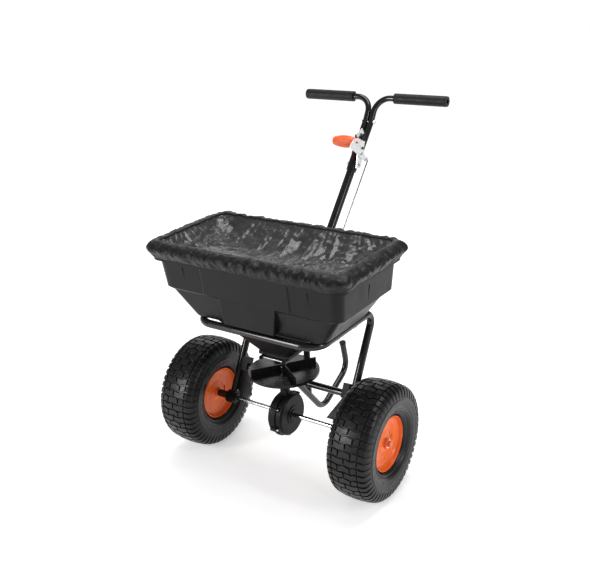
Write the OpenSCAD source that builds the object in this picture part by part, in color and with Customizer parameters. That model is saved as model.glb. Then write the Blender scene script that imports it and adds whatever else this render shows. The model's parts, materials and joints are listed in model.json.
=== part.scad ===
// Walk-behind broadcast spreader for seed, fertiliser and grit.
// The origin is on the ground under the middle of the machine. +X points to the
// right-hand wheel, +Y to the handle, and the hopper's front faces -Y.
// Most shapes are drawn from the point on the ground under the axle, and from_axle()
// moves them to their place.

/* [Wheels] */
// Outer radius of a tyre
tyre_r = 165; // [155:1:170]
// Width of a tyre
tyre_w = 127; // [120:1:130]
// Distance between the wheel centres
track = 576; // [570:1:590]
// Radius of the rim's lip
rim_r = 76; // [74:1:78]
// Radius of the axle
axle_r = 6.35; // [6:0.05:6.5]

/* [Hopper] */
// Outer width of the rim, left to right
rim_w = 606; // [600:1:612]
// Outer length of the rim, front to back
rim_l = 322; // [316:1:326]
// Height of the rim above the ground
rim_z = 688; // [684:1:694]
// Thickness of the moulded wall
wall = 3.5; // [3:0.5:4]

/* [Frame] */
// Radius of the bent frame tube
tube_r = 11; // [10:0.5:11]
// Distance from the middle to each side rail
rail_x = 196; // [194:1:198]
// Height of the rails that carry the hopper
rail_z = 464; // [462:1:466]
// Radius of the handle's upright tube
upright_r = 12.5; // [12:0.5:13]
// Radius of the stand tube
stand_r = 9.5; // [9:0.5:10]

/* [Handle] */
// Distance from the middle to the end of each grip
grip_end_x = 238; // [230:1:245]
// Length of a grip
grip_l = 168; // [150:1:170]
// Radius of a grip
grip_r = 15.5; // [14:0.5:16]
// Radius of a handlebar tube
bar_r = 9; // [8.5:0.5:9]

/* [Spreading gear] */
// Radius of the spinner disc
disc_r = 101; // [95:1:105]
// Height of the spinner disc above the ground
disc_z = 302; // [300:1:306]
// Height of the spinner's vanes
vane_h = 19; // [16:1:22]
// Teeth on the gear that the axle carries
ring_teeth = 40; // [40:1:40]
// Teeth on the spinner's pinion
pinion_teeth = 10; // [10:1:10]

/* [Hidden] */
$fn = 48;

axle_y = -184;                 // the axle's place in front of the origin
axle_z = tyre_r;
wheel_x = track / 2;
fit = 0.05;                    // radial clearance of a running fit
bend_step = 0.04;
bend_lap = 1;                  // degrees that a bend reaches into each straight
hub_half = 42;                 // half the length of a wheel's hub tube
hub_r = 15;
bush_r = 11;
bearing_x = 183;               // inner face of an axle bearing
bearing_w = 26;
bearing_r = 19;
washer_t = 2;

leg_slope = 0.558;             // how far a leg runs back for each millimetre up
leg_foot_y = 3.3;
leg_top_y = leg_foot_y + (rail_z - axle_z) * leg_slope;
rail_front_y = -127;
crossbar_r = 10;
rear_bar_y = 118;
low_bar_z = 249;
low_bar_y = leg_foot_y + (low_bar_z - axle_z) * leg_slope;

hop_mid_y = -14;               // middle of the hopper's rim, from the axle
floor_z = 362;                 // underside of the hopper's outlet
seat_z = 478;                  // underside of the hopper where it sits on the rails
seat_t = 2.5;
bolt_ys = [-22, 66];           // the bolts that hold it down
shaft_r = 5;

rise = 49.7;                   // angle of the upright above the ground
bar_gap = 9.5;                 // from the middle to a handlebar tube's centre
clamp_z = 803.5;               // height of the bolt that joins the handlebars to the upright
clamp_y = upright_y(clamp_z);
elbow_z = 914;
grip_y = 537;
grip_z = 978;

plate_x = 18.4;                // inner face of the flow bracket
plate_t = 2.5;
lever_x = 21.4;                // inner face of the lever plate
pivot = [417, 834];            // lever pivot: distance behind the axle, height
rod_tip = [444, 812];
rod_x = 28.5;
rod_r = 2.2;
lever_grip_at = [388, 873];
stop_at = [422, 881];
stop_travel = 10;

crank_x = 22.5;
crank_t = 3;
crank_at = [rear_bar_y, 389.7];
crank_arm = 30;
crank_leg = 24.7;
crank_turn = 20.8;             // how far the crank stands from the middle of its swing
rod_foot = crank_at + crank_arm * [cos(139.1 + crank_turn), sin(139.1 + crank_turn)];
shutter_pin = crank_at + crank_leg * [cos(270 + crank_turn), sin(270 + crank_turn)];
shutter_z = 357;
shutter_t = 2.5;
shutter_travel = 17.5;
port = [20, -23];              // an outlet port's place
port_r = 8;

gear_m = 2.4;                  // tooth module
pinion_r = pinion_teeth * gear_m / 2;
ring_r = ring_teeth * gear_m / 2;
tooth_up = 2;
tooth_down = 2.8;
tooth_half = 1.6;
face = 6;                      // width of the toothed faces
box_r = 60;
box_half = 24;

// Distance of the upright's centre line behind the axle at height z
function upright_y(z) = 404 + (z - 801) / tan(rise);

function unit(v) = v / norm(v);
function run(p, i) = unit(p[i + 1] - p[i]);
function bend_at(p, i) = acos(run(p, i - 1) * run(p, i));
function is_end(p, i) = i == 0 || i == len(p) - 1;
// Length that the bend at point i takes off the straight beside it
function setback(p, b, i) = is_end(p, i) ? 0 : b[i] * tan(bend_at(p, i) / 2);
// The same route, made e longer at both ends
function longer(p, e) = [for (i = [0:len(p) - 1])
    i == 0 ? p[0] - e * run(p, 0) : i == len(p) - 1 ? p[i] + e * run(p, i - 1) : p[i]];
// Normal of a flat line at point i
function left_of(v) = [-v[1], v[0]];
function normal_at(p, i) = unit(left_of(run(p, max(0, i - 1))) + left_of(run(p, min(len(p) - 2, i))));
// Outline of a strip of thickness t that follows the flat line p
function strip(p, t) = concat([for (i = [0:len(p) - 1]) p[i] + normal_at(p, i) * t / 2],
    [for (i = [len(p) - 1:-1:0]) p[i] - normal_at(p, i) * t / 2]);
// Flat points, mirrored in the second coordinate
function flipped(p) = [for (q = p) [q[0], -q[1]]];

module from_axle() {
    translate([0, axle_y, 0]) children();
}

// Moves children drawn along +X from the origin to the axle's line
module on_axle() {
    translate([0, axle_y, axle_z]) children();
}

module both_sides() {
    children();
    mirror([1, 0, 0]) children();
}

// A rod along +X from x0 to x1, through the point [y, z]
module pin_x(x0, x1, at, r) {
    translate([x0, at[0], at[1]]) rotate([0, 90, 0]) cylinder(h = x1 - x0, r = r);
}

// A flat plate in the Y-Z plane, from x0, with its outline given as [y, z]
module plate_yz(x0, t) {
    translate([x0, 0, 0]) rotate([90, 0, 90]) linear_extrude(t) children();
}

// Points children, drawn along +Z, from a to b
module along(a, b) {
    d = b - a;
    translate(a) rotate([0, acos(d[2] / norm(d)), atan2(d[1], d[0])]) children();
}

module straight(a, b, r) {
    along(a, b) cylinder(h = norm(b - a), r = r);
}

// The bend of radius b at the corner v, between the directions d1 and d2. It is a hair
// thinner than the straights and reaches into both, so that they join cleanly.
module bend(v, d1, d2, r, b) {
    turn = acos(d1 * d2);
    n = unit(d2 - (d1 * d2) * d1);
    c = v - d1 * b * tan(turn / 2) + n * b;
    z = cross(-n, d1);
    multmatrix([[-n[0], d1[0], z[0], c[0]], [-n[1], d1[1], z[1], c[1]], [-n[2], d1[2], z[2], c[2]]])
        rotate([0, 0, -bend_lap]) rotate_extrude(angle = turn + 2 * bend_lap)
            translate([b, 0]) circle(r - bend_step);
}

// Solid bar that follows the points p, with the bend radii b
module bar(p, b, r) {
    for (i = [0:len(p) - 2])
        straight(p[i] + run(p, i) * setback(p, b, i), p[i + 1] - run(p, i) * setback(p, b, i + 1), r);
    if (len(p) > 2)
        for (i = [1:len(p) - 2]) bend(p[i], run(p, i - 1), run(p, i), r, b[i]);
}

module pipe(p, b, r, t) {
    difference() {
        bar(p, b, r);
        bar(longer(p, 1), b, r - t);
    }
}

module ring(r_out, r_in, h) {
    difference() {
        cylinder(h = h, r = r_out);
        translate([0, 0, -1]) cylinder(h = h + 2, r = r_in);
    }
}

// A ring around the X axis, from x0 to x1
module ring_x(x0, x1, r_out, r_in) {
    translate([x0, 0, 0]) rotate([0, 90, 0]) ring(r_out, r_in, x1 - x0);
}

// Flat rectangle with round corners, from [x0, y0] to [x1, y1]
module round_rect(x0, y0, x1, y1, r) {
    translate([x0 + r, y0]) square([x1 - x0 - 2 * r, y1 - y0]);
    translate([x0, y0 + r]) square([x1 - x0, y1 - y0 - 2 * r]);
    for (x = [x0 + r, x1 - r], y = [y0 + r, y1 - r]) translate([x, y]) circle(r);
}

// A thin slice of the hopper at height z: half its width, its front and its back
module slice(z, half, front, back, r) {
    translate([0, 0, z]) linear_extrude(0.1) round_rect(-half, front, half, back, r, $fn = 32);
}

// The hopper's stacked tapers, each d smaller all round and raised by up
module hopper_body(d, up) {
    translate([0, 0, up]) {
        hull() {
            slice(rim_z - 0.1, 293 - d, -166 + d, 138 - d, 28);
            slice(560, 282 - d, -150 + d, 132 - d, 26);
        }
        hull() {
            slice(560, 282 - d, -150 + d, 132 - d, 26);
            slice(553, 266 - d, -144 + d, 126 - d, 26);
        }
        hull() {
            slice(553, 266 - d, -144 + d, 126 - d, 26);
            slice(seat_z, 214 - d, -122 + d, 110 - d, 32);
        }
        hull() {
            slice(seat_z, 176 - d, -110 + d, 96 - d, 36);
            slice(385, 62 - d, -55 + d, 50 - d, 16);
        }
        hull() {
            slice(385, 62 - d, -55 + d, 50 - d, 16);
            slice(floor_z + 8, 50 - d, -45 + d, 45 - d, 14);
        }
    }
}

// Raised middle of the front wall
module front_pad() {
    hull() {
        slice(652, 142, -164.2, -100, 6);
        slice(561, 142, -152.4, -100, 6);
    }
}

// Hollow panel that carries the front down over the sloping wall, open below
module front_panel() {
    difference() {
        hull() {
            slice(560, 91, -150, -120, 3);
            slice(486, 81, -148.5, -115, 3);
        }
        hull() {
            slice(554, 87, -146, -110, 2);
            slice(485, 77, -145, -110, 2);
        }
    }
}

// Wedge-shaped hollows in the outside of the front and side walls
module stacking_wedges() {
    both_sides() {
        hull() {
            translate([194.5, -176, 629]) cube([7, 19.2, 0.5]);
            translate([197.8, -176, 591]) cube([0.5, 22.2, 0.5]);
        }
        hull() {
            translate([285.2, -19, 619]) cube([10, 8, 0.5]);
            translate([283, -15.2, 571]) cube([10, 0.5, 0.5]);
        }
    }
}

module rim_flange() {
    w = rim_w / 2;
    l = rim_l / 2;
    translate([0, hop_mid_y, rim_z - 5]) linear_extrude(5) difference() {
        round_rect(-w, -l, w, l, 34);
        round_rect(-w + 20, -l + 20, w - 20, l - 20, 26);
    }
    translate([0, hop_mid_y, rim_z - 46]) linear_extrude(42) difference() {
        round_rect(-w, -l, w, l, 34);
        round_rect(-w + 3, -l + 3, w - 3, l - 3, 31);
    }
}

// Feet that stand on the side rails
module rail_feet() {
    both_sides() for (y = bolt_ys)
        translate([184, y - 12, rail_z + tube_r]) cube([24, 24, 5]);
}

module hopper() {
    color("#2a2c2c") from_axle() difference() {
        union() {
            hopper_body(0, 0);
            rim_flange();
            front_pad();
            front_panel();
            translate([-50, -45, floor_z]) cube([100, 90, 10]);
            rail_feet();
        }
        hopper_body(wall, seat_t);
        translate([0, 0, floor_z - 1]) cylinder(h = 12, r = 8);
        translate([-46.5, -41.5, floor_z + 4]) cube([93, 83, 8]);
        for (x = [-port[0], port[0]]) translate([x, port[1], floor_z - 1]) cylinder(h = 12, r = port_r);
        both_sides() for (y = bolt_ys) translate([rail_x, y, rail_z]) cylinder(h = 30, r = 3);
        stacking_wedges();
    }
}

module hopper_bolts() {
    top = seat_z + seat_t;
    low = rail_z - tube_r;
    color("silver") from_axle() both_sides() for (y = bolt_ys) translate([rail_x, y, 0]) {
        translate([0, 0, low - 3]) cylinder(h = top + 9 - low, r = 3);
        translate([0, 0, top]) cylinder(h = 4, r = 6, $fn = 6);
        translate([0, 0, low - 5]) cylinder(h = 5, r = 6, $fn = 6);
    }
}

module shaft_bush() {
    color("#e8e6df") from_axle() {
        translate([0, 0, floor_z]) ring(7.9, shaft_r + fit, 4);
        translate([0, 0, floor_z + 4]) ring(11, shaft_r + fit, 2.5);
    }
}

module gate_track() {
    color("#303232") from_axle() both_sides() {
        translate([36.4, -60, shutter_z - 2.8]) cube([2.8, 112, floor_z - shutter_z + 2.8]);
        translate([31, -60, shutter_z - 2.8]) cube([5.4, 112, 2.5]);
    }
}

module shutter() {
    tab_x = 27.2;
    color("silver") from_axle() difference() {
        union() {
            translate([-36, -52, shutter_z]) cube([72, 96, shutter_t]);
            translate([14, 40, shutter_z]) cube([20, 98, shutter_t]);
            translate([tab_x, 116, shutter_z]) cube([shutter_t, 22, 15]);
        }
        translate([-7, 0, shutter_z - 1]) cube([14, shutter_travel, 5]);
        for (y = [0, shutter_travel]) translate([0, y, shutter_z - 1]) cylinder(h = 5, r = 7);
        for (x = [-port[0], port[0]])
            translate([x, port[1] + shutter_travel, shutter_z - 1]) cylinder(h = 5, r = port_r);
        translate([tab_x - 1, shutter_pin[0] - 3.1, shutter_pin[1] - 5]) cube([5, 6.2, 8]);
    }
}

// Bell-crank that turns the rod's pull into the shutter's slide
module gate_crank() {
    color("silver") from_axle() difference() {
        union() {
            hull() {
                pin_x(crank_x, crank_x + crank_t, crank_at, 8, $fn = 32);
                pin_x(crank_x, crank_x + crank_t, rod_foot, 10, $fn = 32);
            }
            hull() {
                pin_x(crank_x, crank_x + crank_t, crank_at, 8, $fn = 32);
                pin_x(crank_x, crank_x + crank_t, shutter_pin, 5.5, $fn = 32);
            }
            pin_x(crank_x, 31, shutter_pin, 2.5);
        }
        pin_x(crank_x - 1, crank_x + crank_t + 1, crank_at, 4 + fit);
        pin_x(crank_x - 1, crank_x + crank_t + 1, rod_foot, rod_r + 3.4);
    }
}

module crank_pin() {
    color("silver") from_axle() {
        pin_x(-14, crank_x + crank_t + 1.5, crank_at, 4);
        pin_x(crank_x + crank_t + 0.3, crank_x + crank_t + 3, crank_at, 7);
        pin_x(crossbar_r + 0.2, crank_x - 0.3, crank_at, 6);
        pin_x(-17, -crossbar_r, crank_at, 7, $fn = 6);
    }
}

module control_rod() {
    route = [[19.5, rod_tip[0], rod_tip[1]], [rod_x, rod_tip[0], rod_tip[1]],
        [rod_x, rod_foot[0], rod_foot[1]], [19.5, rod_foot[0], rod_foot[1]]];
    color("silver") from_axle() bar(route, [0, 4.5, 4.5, 0], rod_r);
}

// The cover's clear sheet, sagging into the hopper
module rain_cover() {
    color("#3a3c3e") from_axle() difference() {
        hull() {
            slice(rim_z + 1, 279, -153, 125, 26);
            slice(rim_z - 27, 200, -90, 62, 40);
        }
        hull() {
            slice(rim_z + 2.5, 279, -153, 125, 26);
            slice(rim_z - 24.5, 200, -90, 62, 40);
        }
    }
}

// The cover's gathered edge, around the rim
module cover_hem() {
    w = rim_w / 2;
    l = rim_l / 2;
    gap = 0.6;
    color("#141516") from_axle() translate([0, hop_mid_y, 0]) difference() {
        translate([0, 0, rim_z - 38]) linear_extrude(44) round_rect(-w - 9, -l - 9, w + 9, l + 9, 42);
        translate([0, 0, rim_z - 39]) linear_extrude(39 + gap)
            round_rect(-w - gap, -l - gap, w + gap, l + gap, 34.6);
        translate([0, 0, rim_z - 1]) linear_extrude(20)
            round_rect(-w + 23.5, -l + 21.5, w - 23.5, l - 21.5, 26.5);
    }
}

// One bent tube: both legs, both side rails and the front rail
module frame_loop() {
    side = [[rail_x, leg_foot_y, axle_z], [rail_x, leg_top_y, rail_z], [rail_x, rail_front_y, rail_z]];
    route = concat(side, [for (i = [2:-1:0]) [-side[i][0], side[i][1], side[i][2]]]);
    color("#151515") from_axle() difference() {
        pipe(route, [0, 28, 50, 50, 28, 0], tube_r, 1.8);
        both_sides() pin_x(bearing_x - 1, bearing_x + bearing_w + 1, [0, axle_z], bearing_r);
        both_sides() for (y = bolt_ys) translate([rail_x, y, rail_z - 20]) cylinder(h = 40, r = 3);
    }
}

module rear_crossbar() {
    color("#151515") from_axle() difference() {
        translate([0, rear_bar_y, rail_z]) ring_x(-rail_x, rail_x, crossbar_r, crossbar_r - 1.8);
        both_sides() straight([rail_x, 0, rail_z], [rail_x, 200, rail_z], tube_r);
    }
}

module lower_crossbar() {
    color("#151515") from_axle() difference() {
        translate([0, low_bar_y, low_bar_z]) ring_x(-rail_x, rail_x, crossbar_r, crossbar_r - 1.8);
        both_sides() leg_solid();
    }
}

// The right leg's straight, solid, for cutting what meets it
module leg_solid() {
    straight([rail_x, leg_foot_y, axle_z], [rail_x, leg_top_y, rail_z], tube_r);
}

// Turns children, drawn in the X-Z plane, into the slope of the legs, standing on the axle
module in_leg_plane() {
    translate([0, leg_foot_y, axle_z]) rotate([-atan(leg_slope), 0, 0]) children();
}

module crossbar_clamps() {
    up = (low_bar_z - axle_z) / cos(atan(leg_slope));
    color("#101010") from_axle() both_sides() difference() {
        in_leg_plane() translate([164, -14, up - 13]) cube([20, 28, 42]);
        pin_x(-rail_x, rail_x, [low_bar_y, low_bar_z], crossbar_r);
        leg_solid();
    }
}

// Flat guards between the legs and the middle, above the axle
module leg_gussets() {
    up = (low_bar_z - axle_z) / cos(atan(leg_slope));
    outline = [[184, up - 13.5], [164, up - 13.5], [126, 10], [184, 23]];
    color("#1c1d1d") from_axle() both_sides() difference() {
        in_leg_plane() translate([0, 1.5, 0]) rotate([90, 0, 0]) linear_extrude(3) polygon(outline);
        leg_solid();
        pin_x(100, 200, [0, axle_z], bearing_r);
    }
}

module axle_bearing() {
    on_axle() difference() {
        union() {
            ring_x(bearing_x, bearing_x + bearing_w, bearing_r, axle_r + fit);
            ring_x(bearing_x - 6, bearing_x, 13, axle_r + fit);
        }
    }
}

module axle_bearing_right() {
    color("#101010") axle_bearing();
}

module axle_bearing_left() {
    color("#101010") mirror([1, 0, 0]) axle_bearing();
}

// Hooked tube under the frame that carries the parked machine
module stand_tube() {
    route = [[0, low_bar_y, low_bar_z], [0, 191, 84.5], [0, 341, 162.5], [0, 319, 252]];
    color("#151515") from_axle() difference() {
        pipe(route, [0, 48, 45, 0], stand_r, 1.8);
        pin_x(-30, 30, [low_bar_y, low_bar_z], crossbar_r);
    }
}

module stand_cap() {
    foot = [0, 341, 162.5];
    top = [0, 319, 252];
    color("#101010") from_axle() {
        straight(top, top + 5 * unit(top - foot), stand_r + 1);
        straight(top - 12 * unit(top - foot), top, stand_r - 1.8);
    }
}

module stand_strut() {
    color("#151515") from_axle() difference() {
        translate([0, rear_bar_y, 150]) ring(crossbar_r, crossbar_r - 1.8, rail_z - 150);
        pin_x(-30, 30, [rear_bar_y, rail_z], crossbar_r);
        straight([0, low_bar_y, low_bar_z], [0, 191, 84.5], stand_r);
        translate([-20, rear_bar_y - 20, 100]) cube([40, 40, stand_line(rear_bar_y) - 100]);
        pin_x(-30, 30, crank_at, 4);
    }
}

// Height of the stand tube's first straight, y behind the axle
function stand_line(y) = low_bar_z + (y - low_bar_y) * (84.5 - low_bar_z) / (191 - low_bar_y);

module upright() {
    foot_z = rail_z + 2;
    top_z = 827;
    color("#151515") from_axle() difference() {
        pipe([[0, upright_y(foot_z), foot_z], [0, upright_y(top_z), top_z]], [0, 0], upright_r, 1.8);
        pin_x(-30, 30, [rear_bar_y, rail_z], crossbar_r);
        translate([0, rear_bar_y, 150]) cylinder(h = rail_z - 150, r = crossbar_r);
        pin_x(-30, 30, [clamp_y, clamp_z], 3);
    }
}

// Right-hand handlebar: a half sleeve on the upright, then a tube bent outwards
module handlebar() {
    low = [0, upright_y(787), 787];
    shoulder = [0, upright_y(828), 828];
    start = [bar_gap, upright_y(829), 829];
    bends = [bar_gap, upright_y(elbow_z), elbow_z];
    corner = [bar_gap, grip_y, grip_z];
    difference() {
        union() {
            along(low, shoulder) half_sleeve(norm(shoulder - low));
            along([0, upright_y(827.4), 827.4], [0, upright_y(elbow_z), elbow_z]) transition();
            pipe([start, bends, corner, [grip_end_x - 4, grip_y, grip_z]], [0, 60, 46, 0], bar_r, 1.6);
        }
        pin_x(-40, 40, [clamp_y, clamp_z], 3);
        pin_x(-40, 40, [upright_y(elbow_z - 2), elbow_z - 2], 3);
    }
}

// Half of a sleeve that grips the upright; along() turns it to the +X side
module half_sleeve(h) {
    rotate([0, 0, 180]) difference() {
        intersection() {
            cylinder(h = h, r = upright_r + 3);
            translate([-20, 0.15, -1]) cube([40, 40, h + 2]);
        }
        translate([0, 0, -1]) cylinder(h = h + 2, r = upright_r);
    }
}

// Solid shoulder between the half sleeve and the round tube
module transition() {
    rotate([0, 0, 180]) hull() {
        intersection() {
            cylinder(h = 1, r = upright_r + 3, $fn = 32);
            translate([-20, 0.15, -1]) cube([40, 40, 3]);
        }
        translate([0, bar_gap, 16]) cylinder(h = 0.5, r = bar_r + 0.3, $fn = 32);
    }
}

module handlebar_right() {
    color("#151515") from_axle() handlebar();
}

module handlebar_left() {
    color("#151515") from_axle() mirror([1, 0, 0]) handlebar();
}

module grip() {
    translate([0, grip_y, grip_z]) {
        ring_x(grip_end_x - grip_l, grip_end_x - 3.9, grip_r, bar_r);
        ring_x(grip_end_x - 3.9, grip_end_x, grip_r - 0.8, bar_r - 2);
    }
}

module grip_right() {
    color("#1f2020") from_axle() grip();
}

module grip_left() {
    color("#1f2020") from_axle() mirror([1, 0, 0]) grip();
}

module bolt_x(x0, x1, at, r, head) {
    pin_x(x0 - head, x1 + head + 1, at, r);
    pin_x(x1, x1 + head, at, 2 * r, $fn = 6);
    pin_x(x0 - head, x0, at, 2 * r, $fn = 6);
}

module handlebar_bolts() {
    sleeve_x = upright_r + 3;
    tube_x = bar_gap + bar_r;
    color("silver") from_axle() {
        bolt_x(-sleeve_x, plate_x + plate_t, [clamp_y, clamp_z], 3, 4);
        bolt_x(-tube_x, tube_x, [upright_y(elbow_z - 2), elbow_z - 2], 3, 4);
    }
}

module flow_bracket() {
    outline = [[386, 797], [404, 792], [415, 800], [425, 823], [441, 868], [437, 890], [425, 908],
        [397, 897], [392, 891], [406, 879], [406, 862], [397, 838], [392, 815]];
    color("silver") from_axle() difference() {
        plate_yz(plate_x, plate_t) polygon(outline);
        pin_x(0, 40, [clamp_y, clamp_z], 3);
        pin_x(0, 40, pivot, 3);
        for (d = [0, stop_travel]) pin_x(0, 40, stop_at + [d, 0], 3.2);
        translate([0, stop_at[0], stop_at[1] - 3.2]) cube([40, stop_travel, 6.4]);
    }
}

module lever_pivot_bolt() {
    color("#b8bbbd") from_axle() {
        pin_x(plate_x - 2, lever_x + plate_t + 0.4, pivot, 3);
        pin_x(plate_x - 2, plate_x, pivot, 5.5, $fn = 6);
        pin_x(lever_x + plate_t + 0.3, lever_x + plate_t + 4, pivot, 5.5, $fn = 6);
    }
}

module flow_lever() {
    outline = [[350, 865], [353, 873], [372, 884], [393, 886], [414, 876], [421, 869], [428, 852],
        [426, 838], [438, 822], [450, 818], [451, 808], [444, 804], [434, 807], [408, 825]];
    color("#c4c6c8") from_axle() difference() {
        plate_yz(lever_x, plate_t) polygon(outline);
        pin_x(0, 40, pivot, 3 + fit);
        pin_x(0, 40, rod_tip, rod_r + fit);
        pin_x(0, 40, lever_grip_at, 3);
        pin_x(0, 40, [419.5, 850], 2);
    }
}

module lever_rivet() {
    color("#404244") from_axle() {
        pin_x(lever_x, lever_x + plate_t + 1, [419.5, 850], 2);
        pin_x(lever_x + plate_t, lever_x + plate_t + 2.5, [419.5, 850], 4);
    }
}

// Barrel-shaped grip on the lever
module lever_grip() {
    l = 74;
    end_r = 12;
    mid_r = 18;
    bulge = (l * l / 4 + (mid_r - end_r) * (mid_r - end_r)) / (2 * (mid_r - end_r));
    color("#e8642c") from_axle() translate([lever_x - l, lever_grip_at[0], lever_grip_at[1]])
        rotate([0, 90, 0]) difference() {
            rotate_extrude() intersection() {
                translate([mid_r - bulge, l / 2]) circle(bulge, $fn = 200);
                square([mid_r, l]);
            }
            for (a = [0:30:330]) rotate([0, 0, a]) translate([mid_r + 3.5, 0, 6]) cylinder(h = l - 12, r = 5);
        }
    color("silver") from_axle() pin_x(lever_x, lever_x + plate_t + 3, lever_grip_at, 3);
}

// Knob that clamps the adjustable stop
module stop_knob() {
    color("#101010") from_axle() {
        pin_x(12, 24, stop_at, 3);
        pin_x(plate_x + plate_t + 0.2, plate_x + plate_t + 7, stop_at, 6.5);
        for (a = [60, 180, 300])
            translate([plate_x + plate_t + 2, stop_at[0], stop_at[1]]) rotate([a, 0, 0])
                translate([0, 4, -2.5]) cube([6, 7.5, 5]);
    }
}

module stop_block() {
    color("#101010") from_axle() difference() {
        translate([2, stop_at[0] - 8, stop_at[1] - 8]) cube([plate_x - 2.3, 16, 16]);
        pin_x(0, 30, stop_at, 3);
    }
}

module spinner_disc() {
    color("#141414") from_axle() translate([0, 0, disc_z]) difference() {
        union() {
            cylinder(h = 3, r = disc_r, $fn = 96);
            translate([0, 0, -5]) ring(disc_r, disc_r - 3, 6, $fn = 96);
            translate([0, 0, -12]) cylinder(h = 15, r = 13);
            cylinder(h = vane_h + 3, r = 9.5);
            for (a = [54:90:324]) rotate([0, 0, a]) translate([8, -1.5, 2]) cube([disc_r - 12, 3, vane_h]);
        }
        translate([0, 0, -20]) cylinder(h = 80, r = shaft_r);
        translate([0, 0, -disc_z]) disc_pin();
    }
}

// Pin that locks the disc's hub to the shaft
module disc_pin() {
    translate([0, 0, disc_z + 14]) rotate([90, 0, 0]) cylinder(h = 22, r = 2, center = true);
}

module spinner_pin() {
    color("silver") from_axle() disc_pin();
}

module spinner_shaft() {
    color("silver") from_axle() difference() {
        translate([0, 0, 205]) cylinder(h = 192, r = shaft_r);
        disc_pin();
        translate([0, 0, 384]) rotate([90, 0, 0]) cylinder(h = 80, r = 2.5, center = true);
    }
}

module agitator() {
    color("silver") from_axle()
        translate([0, 0, 384]) rotate([90, 0, 0]) cylinder(h = 62, r = 2.5, center = true);
}

// Rotation places a pinion tooth on +X, in a gap of the ring gear
module pinion() {
    root = pinion_r - tooth_down;
    tip = pinion_r + tooth_up;
    low = axle_z + ring_r - face / 2 - 1;
    color("#c9a24a") from_axle() translate([0, 0, low]) difference() {
        union() {
            cylinder(h = face + 2, r = root + 0.1);
            for (i = [0:pinion_teeth - 1]) rotate([0, 0, i * 360 / pinion_teeth])
                linear_extrude(face + 2) polygon([[root - 1, -2.1], [pinion_r, -tooth_half], [tip, -0.7],
                    [tip, 0.7], [pinion_r, tooth_half], [root - 1, 2.1]]);
        }
        translate([0, 0, -1]) cylinder(h = face + 4, r = shaft_r);
    }
}

// Face gear on the axle, its teeth pointing to -X
module ring_gear() {
    root_x = pinion_r + tooth_down;
    tip_x = pinion_r - tooth_up;
    slope = tan(20);
    low = tooth_half + tooth_down * slope;
    high = tooth_half - tooth_up * slope;
    color("#c9a24a") on_axle() {
        ring_x(root_x, root_x + 5, ring_r + face / 2, 30);
        ring_x(root_x + 1, root_x + 4, 30, 14);
        ring_x(pinion_r - 4, box_half - 3.4, 14, axle_r);
        for (i = [0:ring_teeth - 1]) rotate([(i + 0.5) * 360 / ring_teeth, 0, 0])
            translate([0, 0, ring_r - face / 2]) linear_extrude(face)
                polygon([[root_x + 0.2, -low], [root_x + 0.2, low], [tip_x, high], [tip_x, -high]]);
    }
}

boss_angles = [35, 145, 200, 270, 340];
boss_half = 10;                // half the length of a screw boss
boss_at = [0, box_r + 6];

// The housing's outside, all in one
module gearbox_shell() {
    on_axle() {
        hull() {
            pin_x(-box_half + 5, box_half - 5, [0, 0], box_r + 2);
            pin_x(-box_half, box_half, [0, 0], box_r - 3);
        }
        pin_x(-box_half - 2, box_half + 2, [0, 0], 27);
        pin_x(-box_half - 4, box_half + 4, [0, 0], 17);
        pin_x(-3.5, 3.5, [0, 0], box_r + 6);
        for (a = boss_angles) rotate([a - 90, 0, 0]) pin_x(-boss_half, boss_half, boss_at, 6.5);
    }
    from_axle() translate([0, 0, axle_z + box_r - 4]) cylinder(h = 26, r = 14);
}

module gearbox() {
    difference() {
        gearbox_shell();
        on_axle() pin_x(-box_half + 3, box_half - 3, [0, 0], box_r - 4);
        on_axle() pin_x(-box_half - 9, box_half + 9, [0, 0], axle_r + fit);
        from_axle() translate([0, 0, axle_z + 40]) cylinder(h = 80, r = shaft_r + fit);
        on_axle() for (a = boss_angles) rotate([a - 90, 0, 0])
            pin_x(-boss_half - 1, boss_half + 1, boss_at, 1.8);
    }
}

module gearbox_right() {
    color("#1c1d1d") intersection() {
        gearbox();
        translate([0, axle_y - 100, 50]) cube([60, 200, 250]);
    }
}

module gearbox_left() {
    color("#1c1d1d") intersection() {
        gearbox();
        translate([-60, axle_y - 100, 50]) cube([60, 200, 250]);
    }
}

module gearbox_screws() {
    color("silver") on_axle() for (a = boss_angles) rotate([a - 90, 0, 0]) {
        pin_x(-boss_half - 2, boss_half + 1, boss_at, 1.8);
        pin_x(boss_half, boss_half + 3, boss_at, 3.8);
        pin_x(-boss_half - 3, -boss_half, boss_at, 3.6, $fn = 6);
    }
}

module axle() {
    half = wheel_x + hub_half + 6;
    color("#d8dadc") on_axle() difference() {
        translate([-half, 0, 0]) rotate([0, 90, 0]) cylinder(h = 2 * half, r = axle_r);
        drive_pin_hole();
    }
}

module drive_pin_hole() {
    translate([wheel_x + hub_half - 7, 0, -17]) cylinder(h = 34, r = 3);
}

module drive_pin() {
    color("silver") on_axle() drive_pin_hole();
}

module axle_spacers() {
    x0 = bearing_x + bearing_w + 3;
    color("#45474a") on_axle() both_sides() ring_x(x0, wheel_x - hub_half - 0.4, 11, axle_r);
}

module axle_washers() {
    x0 = bearing_x + bearing_w + 0.5;
    x1 = wheel_x + hub_half + 0.3;
    color("#dcdedf") on_axle() both_sides() {
        ring_x(x0, x0 + washer_t, 13, axle_r);
        ring_x(x1, x1 + washer_t, 12, axle_r);
    }
}

module axle_caps() {
    x0 = wheel_x + hub_half + 0.3 + washer_t;
    color("#e8642c") on_axle() both_sides() difference() {
        translate([x0, 0, 0]) rotate([0, 90, 0]) cylinder(h = 7, r = 9);
        rotate([0, 90, 0]) cylinder(h = wheel_x + hub_half + 6, r = axle_r);
    }
}

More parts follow.
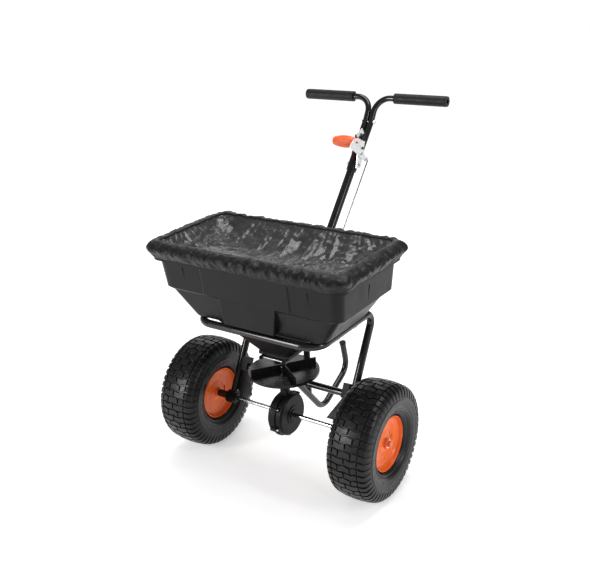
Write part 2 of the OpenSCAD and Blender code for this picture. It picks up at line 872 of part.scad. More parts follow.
// Pressed steel wheel around the X axis: two dished faces, a well and a hub tube
module rim() {
    face_line = [[rim_r, 46.5], [rim_r - 1.5, 43], [rim_r - 3.5, 36], [rim_r - 9, 31], [56, 28.5],
        [36, 29.5], [24, 33], [hub_r - 0.5, 34.5]];
    well = [[rim_r - 4, 34.5], [rim_r - 12, 24], [rim_r - 12, -24], [rim_r - 4, -34.5]];
    difference() {
        union() {
            rotate([0, 90, 0]) rotate_extrude($fn = 96) {
                polygon(strip(face_line, 2.4));
                polygon(strip(flipped(face_line), 2.4));
                polygon(strip(well, 2.4));
            }
            ring_x(-hub_half, hub_half, hub_r, bush_r);
        }
        rotate([slot_angle, 0, 0]) translate([-60, 0, slot_at]) {
            translate([0, -slot_l / 2, -3]) cube([120, slot_l, 6]);
            for (y = [-slot_l / 2, slot_l / 2])
                translate([0, y, 0]) rotate([0, 90, 0]) cylinder(h = 120, r = 3);
        }
        rotate([valve_angle, 0, 0]) translate([0, 0, rim_r - 20]) rotate([0, -90, 0])
            cylinder(h = 60, r = 4);
    }
}

valve_angle = 200;
slot_angle = -102;
slot_at = 38;                  // the slot's distance from the axle
slot_l = 20;

module rim_right() {
    color("#e8642c") on_axle() translate([wheel_x, 0, 0]) difference() {
        rim();
        translate([-wheel_x, 0, 0]) drive_pin_hole();
    }
}

module rim_left() {
    color("#e8642c") on_axle() translate([-wheel_x, 0, 0]) rim();
}

module tyre() {
    h = tyre_w / 2;
    outside = [[rim_r + 0.1, 35], [rim_r + 3, 44], [rim_r + 9, 52], [95, h - 4], [115, h], [135, h - 1.5],
        [149, h - 5.5], [158, h - 13], [tyre_r - 3.5, h - 26], [tyre_r, 14]];
    inside = [[rim_r + 0.1, 24], [rim_r + 12, 38], [102, h - 12], [116, h - 8], [135, h - 9],
        [148, h - 16], [tyre_r - 11, h - 30], [tyre_r - 8.5, 14]];
    rotate([0, 90, 0]) rotate_extrude($fn = 120)
        polygon(concat(outside, flipped(back(outside)), flipped(inside), back(inside)));
}

function back(p) = [for (i = [len(p) - 1:-1:0]) p[i]];

module tyre_right() {
    color("#1a1b1b") on_axle() translate([wheel_x, 0, 0]) tyre();
}

module tyre_left() {
    color("#1a1b1b") on_axle() translate([-wheel_x, 0, 0]) tyre();
}

// The two flanged bushes in a hub tube, with bore r
module hub_bushes(r) {
    ring_x(-hub_half, -hub_half + 18, bush_r, r);
    ring_x(hub_half - 18, hub_half, bush_r, r);
}

module hub_bushes_right() {
    color("#d9d6cc") on_axle() difference() {
        translate([wheel_x, 0, 0]) hub_bushes(axle_r);
        drive_pin_hole();
    }
}

module hub_bushes_left() {
    color("#d9d6cc") on_axle() translate([-wheel_x, 0, 0]) hub_bushes(axle_r + fit);
}

module valve() {
    rotate([valve_angle, 0, 0]) translate([-22, 0, rim_r - 20]) rotate([0, -90, 0]) {
        cylinder(h = 18, r = 4);
        translate([0, 0, 18]) cylinder(h = 7, r = 3);
    }
}

module valve_right() {
    color("#101010") on_axle() translate([wheel_x, 0, 0]) valve();
}

module valve_left() {
    color("#101010") on_axle() translate([-wheel_x, 0, 0]) valve();
}

hopper();
hopper_bolts();
shaft_bush();
gate_track();
shutter();
gate_crank();
crank_pin();
control_rod();
rain_cover();
cover_hem();
frame_loop();
rear_crossbar();
lower_crossbar();
crossbar_clamps();
leg_gussets();
axle_bearing_right();
axle_bearing_left();
stand_tube();
stand_cap();
stand_strut();
upright();
handlebar_right();
handlebar_left();
grip_right();
grip_left();
handlebar_bolts();
flow_bracket();
lever_pivot_bolt();
flow_lever();
lever_rivet();
lever_grip();
stop_knob();
stop_block();
spinner_disc();
spinner_shaft();
spinner_pin();
agitator();
pinion();
gearbox_right();
gearbox_left();
gearbox_screws();
ring_gear();
axle();
axle_spacers();
axle_washers();
axle_caps();
drive_pin();
rim_right();
rim_left();
tyre_right();
tyre_left();
hub_bushes_right();
hub_bushes_left();
valve_right();
valve_left();
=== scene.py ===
import json
import math

import bpy
from mathutils import Matrix, Vector, noise


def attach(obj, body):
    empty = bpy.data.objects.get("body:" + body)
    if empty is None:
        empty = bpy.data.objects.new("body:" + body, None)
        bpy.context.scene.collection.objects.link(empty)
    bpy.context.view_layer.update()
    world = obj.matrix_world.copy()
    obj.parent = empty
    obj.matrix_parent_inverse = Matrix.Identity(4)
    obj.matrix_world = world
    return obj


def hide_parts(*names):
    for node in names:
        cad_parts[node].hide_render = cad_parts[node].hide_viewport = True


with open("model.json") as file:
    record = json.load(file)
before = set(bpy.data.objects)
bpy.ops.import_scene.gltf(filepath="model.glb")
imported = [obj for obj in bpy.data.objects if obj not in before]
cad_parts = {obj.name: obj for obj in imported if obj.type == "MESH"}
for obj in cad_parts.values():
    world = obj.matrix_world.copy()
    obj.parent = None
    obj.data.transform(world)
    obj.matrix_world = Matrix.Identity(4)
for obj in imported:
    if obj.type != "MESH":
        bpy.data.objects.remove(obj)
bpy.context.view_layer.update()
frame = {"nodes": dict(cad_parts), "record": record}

axleY = -0.184          # the axle's place behind the frame's origin
axleZ = 0.165
wheelX = 0.288


# Small helpers for working by hand
def deselectAll():
    if bpy.context.object and bpy.context.object.mode != "OBJECT":
        bpy.ops.object.mode_set(mode="OBJECT")
    bpy.ops.object.select_all(action="DESELECT")


def pickOnly(obj):
    deselectAll()
    obj.select_set(True)
    bpy.context.view_layer.objects.active = obj


def editAll(obj):
    pickOnly(obj)
    bpy.ops.object.mode_set(mode="EDIT")
    bpy.ops.mesh.select_all(action="SELECT")


def applyPlace(obj):
    pickOnly(obj)
    bpy.ops.object.transform_apply(location=True, rotation=True, scale=True)


def useModifier(obj, kind, **settings):
    pickOnly(obj)
    modifier = obj.modifiers.new(kind.title(), kind)
    for key, value in settings.items():
        setattr(modifier, key, value)
    bpy.ops.object.modifier_apply(modifier=modifier.name)


def chain(name, points, close=False):
    # an edge line through the points, extruded from one vertex
    deselectAll()
    bpy.ops.mesh.primitive_plane_add(size=0.001, location=points[0])
    obj = bpy.context.object
    obj.name = name
    applyPlace(obj)
    editAll(obj)
    bpy.ops.mesh.merge(type="CENTER")
    for a, b in zip(points, points[1:]):
        bpy.ops.mesh.extrude_vertices_move(
            TRANSFORM_OT_translate={"value": Vector(b) - Vector(a)})
    if close:
        bpy.ops.mesh.select_all(action="SELECT")
        bpy.ops.object.mode_set(mode="OBJECT")
        count = len(obj.data.vertices)
        for vert in obj.data.vertices:
            vert.select = vert.index in (0, count - 1)
        bpy.ops.object.mode_set(mode="EDIT")
        bpy.ops.mesh.edge_face_add()
    bpy.ops.object.mode_set(mode="OBJECT")
    return obj


def turned(name, points, centre, axis, steps, close=False):
    # the line of points spun once round the axis
    obj = chain(name, points, close)
    editAll(obj)
    bpy.ops.mesh.spin(steps=steps, angle=2 * math.pi, center=centre, axis=axis)
    bpy.ops.mesh.select_all(action="SELECT")
    bpy.ops.mesh.remove_doubles(threshold=0.00002)
    bpy.ops.mesh.normals_make_consistent(inside=False)
    bpy.ops.object.mode_set(mode="OBJECT")
    return obj


def joinAll(objs, name):
    deselectAll()
    for obj in objs:
        obj.select_set(True)
    bpy.context.view_layer.objects.active = objs[0]
    bpy.ops.object.join()
    objs[0].name = name
    return objs[0]


def smooth(obj, angle=35):
    pickOnly(obj)
    bpy.ops.object.shade_smooth_by_angle(angle=math.radians(angle))


def dress(obj, material):
    obj.data.materials.clear()
    obj.data.materials.append(material)


# Nodes for the materials
def addNode(tree, kind, **settings):
    node = tree.nodes.new(kind)
    for key, value in settings.items():
        if key in node.inputs.keys():
            node.inputs[key].default_value = value
        else:
            setattr(node, key, value)
    return node


def noiseNode(tree, coords, scale, detail=4, rough=0.5, stretch=None):
    node = addNode(tree, "ShaderNodeTexNoise")
    node.inputs["Scale"].default_value = scale
    node.inputs["Detail"].default_value = detail
    node.inputs["Roughness"].default_value = rough
    source = coords
    if stretch:
        mapping = addNode(tree, "ShaderNodeMapping")
        mapping.inputs["Scale"].default_value = stretch
        tree.links.new(coords, mapping.inputs["Vector"])
        source = mapping.outputs["Vector"]
    tree.links.new(source, node.inputs["Vector"])
    return node.outputs["Fac"]


def rangeNode(tree, value, low, high, toLow, toHigh):
    node = addNode(tree, "ShaderNodeMapRange")
    for i, number in enumerate((low, high, toLow, toHigh)):
        node.inputs[i + 1].default_value = number
    tree.links.new(value, node.inputs["Value"])
    return node.outputs["Result"]


def mixColour(tree, factor, a, b):
    node = tree.nodes.new("ShaderNodeMix")
    node.data_type = "RGBA"
    tree.links.new(factor, node.inputs["Factor"])
    for socket, value in ((node.inputs[6], a), (node.inputs[7], b)):
        if isinstance(value, bpy.types.NodeSocket):
            tree.links.new(value, socket)
        else:
            socket.default_value = (*value, 1)
    return node.outputs[2]


def bumpNode(tree, height, depth, normal=None):
    node = addNode(tree, "ShaderNodeBump")
    node.inputs["Distance"].default_value = depth
    node.inputs["Strength"].default_value = 1
    tree.links.new(height, node.inputs["Height"])
    if normal:
        tree.links.new(normal, node.inputs["Normal"])
    return node.outputs["Normal"]


def makeFinish(name, look):
    # one recipe for all hard finishes: tone patches, smudges, grain, softened and rubbed edges
    material = bpy.data.materials.new(name)
    material.use_nodes = True
    tree = material.node_tree
    shader = next(n for n in tree.nodes if n.type == "BSDF_PRINCIPLED")
    coords = addNode(tree, "ShaderNodeTexCoord").outputs["Object"]
    patches = rangeNode(tree, noiseNode(tree, coords, look["patch"], 5, 0.6), 0.35, 0.68, 0, 1)
    colour = mixColour(tree, patches, look["base"], look["shade"])
    if "fleck" in look:
        flecks = rangeNode(tree, noiseNode(tree, coords, look["fleckScale"], 3, 0.7), 0.56, 0.72, 0, 1)
        colour = mixColour(tree, flecks, colour, look["fleck"])
    normal = None
    if look.get("soften"):
        soften = addNode(tree, "ShaderNodeBevel", samples=4)
        soften.inputs["Radius"].default_value = look["soften"]
        normal = soften.outputs["Normal"]
        if "rubbed" in look:
            geometry = addNode(tree, "ShaderNodeNewGeometry")
            dot = addNode(tree, "ShaderNodeVectorMath", operation="DOT_PRODUCT")
            tree.links.new(normal, dot.inputs[0])
            tree.links.new(geometry.outputs["Normal"], dot.inputs[1])
            edges = rangeNode(tree, dot.outputs["Value"], 0.8, 0.99, 1, 0)
            breakUp = rangeNode(tree, noiseNode(tree, coords, 260, 5, 0.7), 0.42, 0.66, 0, 1)
            both = addNode(tree, "ShaderNodeMath", operation="MULTIPLY")
            tree.links.new(edges, both.inputs[0])
            tree.links.new(breakUp, both.inputs[1])
            colour = mixColour(tree, both.outputs["Value"], colour, look["rubbed"])
    tree.links.new(colour, shader.inputs["Base Color"])
    smudge = noiseNode(tree, coords, look["smudge"], 6, 0.65)
    low, high = look["roughness"]
    tree.links.new(rangeNode(tree, smudge, 0.3, 0.7, low, high), shader.inputs["Roughness"])
    if "swell" in look:
        normal = bumpNode(tree, noiseNode(tree, coords, look["swell"][0], 2, 0.4), look["swell"][1], normal)
    grain = noiseNode(tree, coords, look["grain"][0], 4, 0.6, look.get("brushed"))
    normal = bumpNode(tree, grain, look["grain"][1], normal)
    tree.links.new(normal, shader.inputs["Normal"])
    for socket, value in look.get("sockets", {}).items():
        shader.inputs[socket].default_value = value
    return material


finishes = {
    "black_hopper": {
        "base": (0.0045, 0.0048, 0.0048), "shade": (0.007, 0.0073, 0.0073), "patch": 9, "smudge": 30,
        "roughness": (0.28, 0.44), "grain": (1500, 0.00006), "swell": (22, 0.0006),
        "soften": 0.0012, "rubbed": (0.02, 0.02, 0.02), "sockets": {"Specular IOR Level": 0.15}},
    "black_plastic": {
        "base": (0.004, 0.0041, 0.0041), "shade": (0.0062, 0.0062, 0.0062), "patch": 25, "smudge": 60,
        "roughness": (0.36, 0.52), "grain": (1700, 0.00006),
        "soften": 0.0008, "rubbed": (0.02, 0.02, 0.02), "sockets": {"Specular IOR Level": 0.15}},
    "black_gloss": {
        "base": (0.006, 0.006, 0.0063), "shade": (0.009, 0.009, 0.009), "patch": 14, "smudge": 40,
        "roughness": (0.2, 0.32), "grain": (900, 0.00002), "swell": (60, 0.00015),
        "soften": 0.0008, "rubbed": (0.02, 0.02, 0.02), "sockets": {"Specular IOR Level": 0.2}},
    "black_paint": {
        "base": (0.005, 0.005, 0.0053), "shade": (0.008, 0.008, 0.0083), "patch": 16, "smudge": 45,
        "roughness": (0.12, 0.22), "grain": (420, 0.00006),
        "soften": 0.0007, "rubbed": (0.06, 0.06, 0.058),
        "sockets": {"Specular IOR Level": 0.32, "Coat Weight": 0.15, "Coat Roughness": 0.06}},
    "orange_paint": {
        "base": (0.83, 0.15, 0.022), "shade": (0.76, 0.125, 0.018), "patch": 18, "smudge": 35,
        "roughness": (0.24, 0.36), "grain": (500, 0.00008),
        "soften": 0.0008, "rubbed": (0.86, 0.25, 0.1),
        "sockets": {"Specular IOR Level": 0.25, "Coat Weight": 0.1, "Coat Roughness": 0.15}},
    "orange_plastic": {
        "base": (0.80, 0.12, 0.02), "shade": (0.7, 0.095, 0.015), "patch": 50, "smudge": 90,
        "roughness": (0.34, 0.5), "grain": (1800, 0.00008),
        "soften": 0.0008, "rubbed": (0.9, 0.3, 0.12), "sockets": {"Specular IOR Level": 0.5}},
    "zinc": {
        "base": (0.60, 0.61, 0.62), "shade": (0.72, 0.73, 0.73), "patch": 60, "smudge": 110,
        "roughness": (0.24, 0.4), "grain": (260, 0.00003), "brushed": (1, 8, 1),
        "soften": 0.0006, "rubbed": (0.85, 0.85, 0.86), "sockets": {"Metallic": 1}},
    "bright_steel": {
        "base": (0.36, 0.36, 0.37), "shade": (0.5, 0.5, 0.51), "patch": 35, "smudge": 80,
        "roughness": (0.1, 0.2), "grain": (220, 0.00002), "brushed": (0.3, 6, 6),
        "soften": 0.0004, "sockets": {"Metallic": 1}},
    "dark_steel": {
        "base": (0.035, 0.035, 0.037), "shade": (0.07, 0.07, 0.072), "patch": 80, "smudge": 120,
        "roughness": (0.26, 0.42), "grain": (700, 0.00004),
        "soften": 0.0005, "rubbed": (0.25, 0.25, 0.25), "sockets": {"Metallic": 0.85}},
    "gear_metal": {
        "base": (0.36, 0.29, 0.17), "shade": (0.27, 0.22, 0.14), "patch": 90, "smudge": 130,
        "roughness": (0.25, 0.45), "grain": (1100, 0.00006),
        "soften": 0.0004, "sockets": {"Metallic": 1}},
    "nylon": {
        "base": (0.62, 0.61, 0.56), "shade": (0.55, 0.54, 0.48), "patch": 70, "smudge": 90,
        "roughness": (0.35, 0.5), "grain": (1500, 0.00004),
        "soften": 0.0005, "sockets": {"Subsurface Weight": 0.1, "Subsurface Scale": 0.002}},
    "tyre": {
        "base": (0.005, 0.005, 0.0052), "shade": (0.008, 0.008, 0.008), "patch": 26, "smudge": 75,
        "roughness": (0.24, 0.4), "grain": (1300, 0.00010), "fleck": (0.012, 0.012, 0.0118),
        "fleckScale": 500, "soften": 0.0008, "sockets": {"Specular IOR Level": 0.26}},
    "valve": {
        "base": (0.012, 0.012, 0.012), "shade": (0.02, 0.02, 0.02), "patch": 90, "smudge": 130,
        "roughness": (0.45, 0.6), "grain": (1500, 0.00005), "soften": 0.0004, "sockets": {}},
    "grip": {
        "base": (0.005, 0.005, 0.0052), "shade": (0.008, 0.008, 0.008), "patch": 40, "smudge": 70,
        "roughness": (0.42, 0.6), "grain": (1400, 0.00012), "soften": 0.0008,
        "sockets": {"Specular IOR Level": 0.28}},
    "vinyl": {
        "base": (0.022, 0.0225, 0.0235), "shade": (0.034, 0.0345, 0.0355), "patch": 14, "smudge": 30,
        "roughness": (0.2, 0.36), "grain": (180, 0.0003), "swell": (55, 0.0022),
        "sockets": {"Alpha": 0.88, "Specular IOR Level": 0.6}},
    "hem": {
        "base": (0.004, 0.004, 0.0042), "shade": (0.007, 0.007, 0.0072), "patch": 22, "smudge": 45,
        "roughness": (0.34, 0.55), "grain": (240, 0.0004), "swell": (90, 0.003),
        "sockets": {"Specular IOR Level": 0.22, "Sheen Weight": 0.05, "Sheen Roughness": 0.4}},
}
materials = {name: makeFinish(name + "_finish", look) for name, look in finishes.items()}
print("materials made:", len(materials))

slotOf = {part["node"]: part["material_slot"] for part in frame["record"]["subparts"]}
for nodeName, node in frame["nodes"].items():
    dress(node, materials[slotOf[nodeName]])


# A tyre's carcass, zigzag blocks and shoulder lugs; places are (radius, x) unless noted
tyre = {
    "pitches": 26,                 # each pitch has two rows of blocks
    "rowLength": 0.0153,           # a block's length round the tyre
    "zigzag": 0.0021,              # how far the rows swing to each side
    "halfPeriod": 0.018,
    "blockDepth": 0.0055,
    "chamfer": 0.0007,
    "crown": (0.165, 0.0028, 0.036, 2.2),   # radius in the middle, its drop, where, and how steeply
    "bendsAt": (-0.018, 0, 0.018),
    "spinSteps": 104,
    "fullBlocks": ((0.002, 0.036), (-0.036, -0.002)),
    "splitBlocks": ((-0.036, -0.0200), (-0.0165, 0.0165), (0.0200, 0.036)),
    "lugWidth": (0.0135, 0.0132, 0.0125, 0.0118, 0.0108, 0.0098, 0.0088),
    # (x, radius) along a lug
    "lugPath": ((0.0395, 0.1618), (0.046, 0.1602), (0.052, 0.1574), (0.057, 0.1524), (0.0600, 0.1462),
                (0.0618, 0.1385), (0.0628, 0.1300)),
    "carcass": ((0.0761, 0.035), (0.0790, 0.0436), (0.0820, 0.0484), (0.0850, 0.0513), (0.0865, 0.0526),
                (0.0880, 0.0531), (0.0895, 0.0530), (0.0920, 0.0561), (0.0950, 0.0584), (0.0980, 0.0596),
                (0.0992, 0.0607), (0.1008, 0.0608), (0.1022, 0.0602), (0.1060, 0.0616), (0.1120, 0.0626),
                (0.1180, 0.0630), (0.1215, 0.0630), (0.1228, 0.0636), (0.1248, 0.0636), (0.1262, 0.0625),
                (0.1300, 0.0619), (0.1360, 0.0606), (0.1420, 0.0589), (0.1480, 0.0564), (0.1525, 0.0526),
                (0.1555, 0.0476), (0.1572, 0.0400), (0.1586, 0.0300), (0.1598, 0.0200), (0.1606, 0.0100)),
    "inside": ((0.0761, 0.024), (0.088, 0.038), (0.102, 0.0515), (0.116, 0.0555), (0.135, 0.0545),
               (0.146, 0.0475), (0.153, 0.030), (0.1555, 0.014)),
}


def crownHeight(x):
    top, drop, edge, power = tyre["crown"]
    return top - drop * (abs(x) / edge) ** power


def zigzag(x):
    half = tyre["halfPeriod"]
    return tyre["zigzag"] * (1 - 2 * abs((x + half) % (2 * half) - half) / half)


def onWheel(side, x, along, height):
    # a place at the top of the wheel: x across, along the tread, height from the axle
    return Vector((side * wheelX + x, axleY + along, axleZ + height))


def strip(name, stations, lengths, side):
    # a strip of faces over the stations, each (x, height), with its length along the tread
    deselectAll()
    bpy.ops.mesh.primitive_grid_add(x_subdivisions=len(stations) - 1, y_subdivisions=1, size=2)
    obj = bpy.context.object
    obj.name = name
    bpy.ops.object.mode_set(mode="OBJECT")
    steps = len(stations) - 1
    for vert in obj.data.vertices:
        place = round((vert.co.x + 1) / 2 * steps)
        x, height = stations[place]
        along = zigzag(x) + vert.co.y * lengths[place] / 2
        vert.co = onWheel(side, x, along, height)
    useModifier(obj, "SOLIDIFY", thickness=tyre["blockDepth"], offset=-1)
    useModifier(obj, "BEVEL", width=tyre["chamfer"], segments=1, limit_method="ANGLE",
                angle_limit=math.radians(40))
    return obj


def turnAbout(obj, side, angle):
    # a turn round the wheel's own axis
    editAll(obj)
    bpy.ops.transform.rotate(value=-angle, orient_axis="X",
                             center_override=(side * wheelX, axleY, axleZ))
    bpy.ops.object.mode_set(mode="OBJECT")


def makeTyre(name, side):
    centre = (side * wheelX, axleY, axleZ)
    outer = [onWheel(side, x, 0, r) for r, x in tyre["carcass"]]
    outer += [onWheel(side, 0, 0, 0.1608)]
    outer += [onWheel(side, -x, 0, r) for r, x in reversed(tyre["carcass"])]
    inner = [onWheel(side, -x, 0, r) for r, x in tyre["inside"]]
    inner += [onWheel(side, x, 0, r) for r, x in reversed(tyre["inside"])]
    body = turned(name, outer + inner, centre, (1, 0, 0), tyre["spinSteps"], close=True)
    parts = []
    half = math.pi / tyre["pitches"]
    for row, blocks in enumerate((tyre["fullBlocks"], tyre["splitBlocks"])):
        for low, high in blocks:
            bend = [x for x in tyre["bendsAt"] if low + 0.003 < x < high - 0.003]
            across = [low, *bend, high]
            part = strip("block", [(x, crownHeight(x)) for x in across],
                         [tyre["rowLength"]] * len(across), side)
            parts.append((part, row))
        for hand in (-1, 1):
            path = [(hand * x, r) for x, r in tyre["lugPath"]]
            part = strip("lug", path if hand > 0 else path[::-1],
                         tyre["lugWidth"] if hand > 0 else tyre["lugWidth"][::-1], side)
            parts.append((part, row))
    for part, row in parts:
        turnAbout(part, side, row * half)
    tread = joinAll([part for part, row in parts], "tread")
    editAll(tread)
    step = 2 * half
    bpy.ops.mesh.spin(steps=tyre["pitches"] - 1, dupli=True, angle=2 * math.pi - step,
                      center=centre, axis=(1, 0, 0))
    bpy.ops.object.mode_set(mode="OBJECT")
    whole = joinAll([body, tread], name)
    smooth(whole, 40)
    dress(whole, materials["tyre"])
    return whole


for side, word, bodyName in ((1, "right", "drive_axle"), (-1, "left", "left_wheel")):
    made = makeTyre("treaded_tyre_" + word, side)
    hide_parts("tyre_" + word)
    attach(made, bodyName)
    print("tyre", word, "made:", len(made.data.polygons), "faces")


# The rain cover's thin sheet, held at its edge and sagging into the hopper
cover = {
    "x": 0.286, "front": -0.344, "back": -0.055, "z": 0.6895,
    "cells": (116, 60), "frames": 26,
    "spare": 0.045,                  # how much longer the flat sheet is, each way
    "sag": 0.027, "wave": 0.006, "waveScale": (26, 12),
    "crinkle": 0.006, "crinkleScale": (34, 75),
    "cloth": {"quality": 6, "mass": 0.15, "tension_stiffness": 20, "compression_stiffness": 8,
              "shear_stiffness": 3, "bending_stiffness": 0.02},
}


def coverPlace(co):
    # a place on the sheet, from -1 to 1 each way
    length = cover["back"] - cover["front"]
    return co.x / cover["x"], (co.y - cover["front"]) / length * 2 - 1


def ridge(place):
    return 0.5 - 1.8 * abs(noise.noise(place))


def makeCover():
    width, length = 2 * cover["x"], cover["back"] - cover["front"]
    deselectAll()
    bpy.ops.mesh.primitive_grid_add(
        x_subdivisions=cover["cells"][0], y_subdivisions=cover["cells"][1], size=1,
        location=(0, (cover["front"] + cover["back"]) / 2, cover["z"]))
    sheet = bpy.context.object
    sheet.name = "cover_sheet"
    sheet.scale = (width, length, 1)
    applyPlace(sheet)
    across, along = cover["waveScale"]
    for vert in sheet.data.vertices:
        x, y = coverPlace(vert.co)
        inside = max(0, (1 - x ** 6) * (1 - y ** 6))
        wave = noise.noise(Vector((vert.co.x * across, vert.co.y * along, 3)))
        vert.co.z -= inside * (cover["sag"] + (cover["wave"] + cover["wave"] * max(x, y)) * wave)
    edge = sheet.vertex_groups.new(name="edge")
    edge.add([v.index for v in sheet.data.vertices
              if abs(v.co.x) > cover["x"] - 0.001 or v.co.y < cover["front"] + 0.001
              or v.co.y > cover["back"] - 0.001], 1, "REPLACE")
    cloth = sheet.modifiers.new("Sag", "CLOTH")
    for key, value in cover["cloth"].items():
        setattr(cloth.settings, key, value)
    cloth.settings.vertex_group_mass = "edge"
    cloth.settings.shrink_min = -cover["spare"]
    cloth.settings.shrink_max = -cover["spare"]
    cloth.collision_settings.use_collision = False
    scene = bpy.context.scene
    for number in range(1, cover["frames"] + 1):
        scene.frame_set(number)
    pickOnly(sheet)
    bpy.ops.object.modifier_apply(modifier=cloth.name)
    scene.frame_set(1)
    coarse, fine = cover["crinkleScale"]
    for vert in sheet.data.vertices:
        x, y = coverPlace(vert.co)
        held = min(1, 12 * (1 - abs(x)), 6 * (1 - abs(y)))
        rough = min(1, 0.2 + 0.9 * max(abs(x + 0.25), abs(y)) ** 2)
        spot = Vector((vert.co.x, vert.co.y, vert.co.z * 2))
        crinkle = ridge(spot * coarse) + 0.5 * ridge(spot * fine)
        vert.co.z += cover["crinkle"] * held * rough * crinkle
    useModifier(sheet, "SUBSURF", levels=1, render_levels=1)
    smooth(sheet, 180)
    dress(sheet, materials["vinyl"])
    return sheet, (width * (1 + cover["spare"]), length * (1 + cover["spare"]))


# The cover's gathered hem; its profile is (way out from the rim, height)
hem = {
    "rim": (-0.303, -0.359, 0.303, -0.037), "corner": 0.034, "step": 0.0042,
    "profile": ((-0.0205, 0.6900), (-0.0165, 0.6932), (-0.0095, 0.6936), (-0.0020, 0.6920),
                (0.0050, 0.6888), (0.0110, 0.6845), (0.0150, 0.6795), (0.0162, 0.6745),
                (0.0148, 0.6698), (0.0116, 0.6650), (0.0084, 0.6602), (0.0058, 0.6557),
                (0.0038, 0.6520), (0.0020, 0.6500)),
    "ruffle": (0.0012, 0.0024, 0.0030, 0.0038, 0.0046, 0.0056, 0.0066, 0.0070, 0.0066, 0.0054, 0.0044,
               0.0032, 0.0018, 0.0006),
    "thickness": 0.0006,
}


def rimPath():
    # evenly spaced places round the hopper's rim, with the way out at each
    x0, y0, x1, y1 = hem["rim"]
    r = hem["corner"]
    corners = [(x1 - r, y0 + r, -90), (x1 - r, y1 - r, 0), (x0 + r, y1 - r, 90), (x0 + r, y0 + r, 180)]
    line = []
    for cx, cy, start in corners:
        for i in range(13):
            a = math.radians(start + i * 7.5)
            line.append((Vector((cx + r * math.cos(a), cy + r * math.sin(a), 0)),
                         Vector((math.cos(a), math.sin(a), 0))))
    line.append(line[0])
    lengths = [0]
    for a, b in zip(line, line[1:]):
        lengths.append(lengths[-1] + (b[0] - a[0]).length)
    count = round(lengths[-1] / hem["step"])
    places, k = [], 0
    for i in range(count):
        want = lengths[-1] * i / count
        while lengths[k + 1] < want:
            k += 1
        part = (want - lengths[k]) / (lengths[k + 1] - lengths[k])
        places.append((line[k][0].lerp(line[k + 1][0], part),
                       line[k][1].lerp(line[k + 1][1], part).normalized()))
    return places, lengths[-1]


def makeHem():
    places, around = rimPath()
    rows = len(hem["profile"])
    verts, faces = [], []
    for i, (place, out) in enumerate(places):
        s = i / len(places)
        spot = Vector((math.cos(2 * math.pi * s), math.sin(2 * math.pi * s), 0)) * 8
        gather = noise.noise(spot * 1.1) * 0.5 + 0.5
        for j, (off, z) in enumerate(hem["profile"]):
            swing = hem["ruffle"][j]
            lean = j * 0.11
            fold = noise.noise(spot * 1.15 + Vector((0, 0, lean)))
            fine = noise.noise(spot * 3.4 + Vector((0, 0, 3 + lean * 1.6)))
            crease = 0.7 - 2.4 * abs(noise.noise(spot * 1.7 + Vector((0, 0, 9 + lean * 1.3))))
            push = swing * (0.8 * fold + 0.8 * fine + (0.5 + 0.7 * gather) * crease)
            drop = swing * 0.5 * fine + 0.0045 * (j / rows) ** 2 * noise.noise(spot * 0.9 + Vector((5, 5, 0)))
            p = place + out * (off + push)
            verts.append((p.x, p.y, z + (drop if j > 4 else push * 0.5)))
    count = len(places)
    for i in range(count):
        for j in range(rows - 1):
            a, b = i * rows + j, (i + 1) % count * rows + j
            faces.append((a, b, b + 1, a + 1))
    mesh = bpy.data.meshes.new("cover_hem_cloth")
    mesh.from_pydata(verts, [], faces)
    obj = bpy.data.objects.new("cover_hem_cloth", mesh)
    bpy.context.scene.collection.objects.link(obj)
    editAll(obj)
    bpy.ops.mesh.normals_make_consistent(inside=False)
    bpy.ops.object.mode_set(mode="OBJECT")
    useModifier(obj, "SOLIDIFY", thickness=hem["thickness"], offset=0)
    useModifier(obj, "SUBSURF", levels=1, render_levels=1)
    smooth(obj, 180)
    dress(obj, materials["hem"])
    return obj


coverSheet, flatSize = makeCover()
hemCloth = makeHem()
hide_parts("rain_cover")
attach(coverSheet, "cover")
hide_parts("cover_hem")
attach(hemCloth, "cover")
print("cover made:", len(coverSheet.data.polygons), "and", len(hemCloth.data.polygons), "faces")


studio = {
    "floor": (0.93, 0.93, 0.93), "sky": 0.32, "backdrop": 1.0,
    "glow": (0.7, 3.5, 0.42, 0.74),   # the floor's own light: from, to, weakest, strongest
    "lights": (
        # name, place, aim, size, power
        ("overhead", (0.1, 0.5, 3.2), (0, 0, 0.3), (2.2, 1.6), 62),
        ("frontLeft", (-1.5, -2.9, 1.35), (0, -0.1, 0.45), (0.55, 1.5), 60),
        ("right", (2.9, -0.3, 1.6), (0, 0, 0.45), (0.35, 1.9), 30),
        ("back", (-2.0, 2.6, 1.95), (0, -0.1, 0.6), (2.3, 1.1), 17),
    ),
}

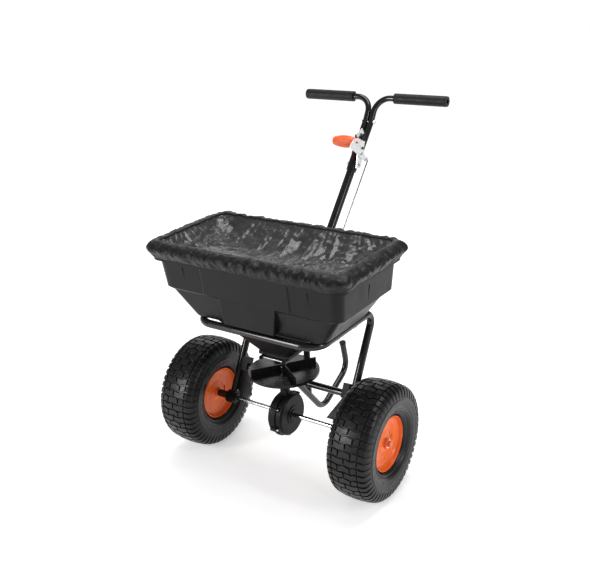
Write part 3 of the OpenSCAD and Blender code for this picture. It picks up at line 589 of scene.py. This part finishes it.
deselectAll()
bpy.ops.mesh.primitive_grid_add(x_subdivisions=8, y_subdivisions=8, size=80, location=(0, 0, 0))
floor = bpy.context.object
floor.name = "studio_floor"
floorMaterial = makeFinish("floor_finish", {
    "base": studio["floor"], "shade": (0.9, 0.9, 0.9), "patch": 0.6, "smudge": 2,
    "roughness": (0.5, 0.6), "grain": (30, 0.0001),
    "sockets": {"Specular IOR Level": 0.1, "Emission Color": (1, 1, 1, 1)}})
tree = floorMaterial.node_tree
shader = next(n for n in tree.nodes if n.type == "BSDF_PRINCIPLED")
reach = addNode(tree, "ShaderNodeVectorMath", operation="LENGTH")
tree.links.new(addNode(tree, "ShaderNodeTexCoord").outputs["Object"], reach.inputs[0])
glow = addNode(tree, "ShaderNodeMapRange")
for socket, value in zip(("From Min", "From Max", "To Min", "To Max"), studio["glow"]):
    glow.inputs[socket].default_value = value
tree.links.new(reach.outputs["Value"], glow.inputs["Value"])
tree.links.new(glow.outputs["Result"], shader.inputs["Emission Strength"])
dress(floor, floorMaterial)

world = bpy.data.worlds.new("studioWorld")
bpy.context.scene.world = world
world.use_nodes = True
backdrop = world.node_tree.nodes["Background"]
backdrop.inputs["Color"].default_value = (1, 1, 1, 1)
rays = world.node_tree.nodes.new("ShaderNodeLightPath")
strength = world.node_tree.nodes.new("ShaderNodeMapRange")
strength.inputs["To Min"].default_value = studio["sky"]
strength.inputs["To Max"].default_value = studio["backdrop"]
world.node_tree.links.new(rays.outputs["Is Camera Ray"], strength.inputs["Value"])
world.node_tree.links.new(strength.outputs["Result"], backdrop.inputs["Strength"])

for name, place, aim, size, power in studio["lights"]:
    lamp = bpy.data.lights.new(name, "AREA")
    lamp.shape = "RECTANGLE"
    lamp.size, lamp.size_y = size
    lamp.energy = power
    holder = bpy.data.objects.new(name, lamp)
    holder.location = place
    holder.rotation_euler = (Vector(aim) - Vector(place)).to_track_quat("-Z", "Y").to_euler()
    bpy.context.scene.collection.objects.link(holder)

view = {
    "azimuth": 34.95, "elevation": 21.67, "roll": -2.72, "lens": 51.35,
    "place": (1.249, -1.898, 1.387),
}
cameraData = bpy.data.cameras.new("camera")
cameraData.lens = view["lens"]
cameraData.sensor_width = 36
cameraData.clip_end = 100
camera = bpy.data.objects.new("camera", cameraData)
bpy.context.scene.collection.objects.link(camera)
camera.matrix_world = (
    Matrix.Translation(view["place"])
    @ Matrix.Rotation(math.radians(view["azimuth"]), 4, "Z")
    @ Matrix.Rotation(math.radians(90 - view["elevation"]), 4, "X")
    @ Matrix.Rotation(math.radians(view["roll"]), 4, "Z"))
bpy.context.scene.camera = camera
bpy.context.scene.view_settings.view_transform = "Standard"
print("studio made")
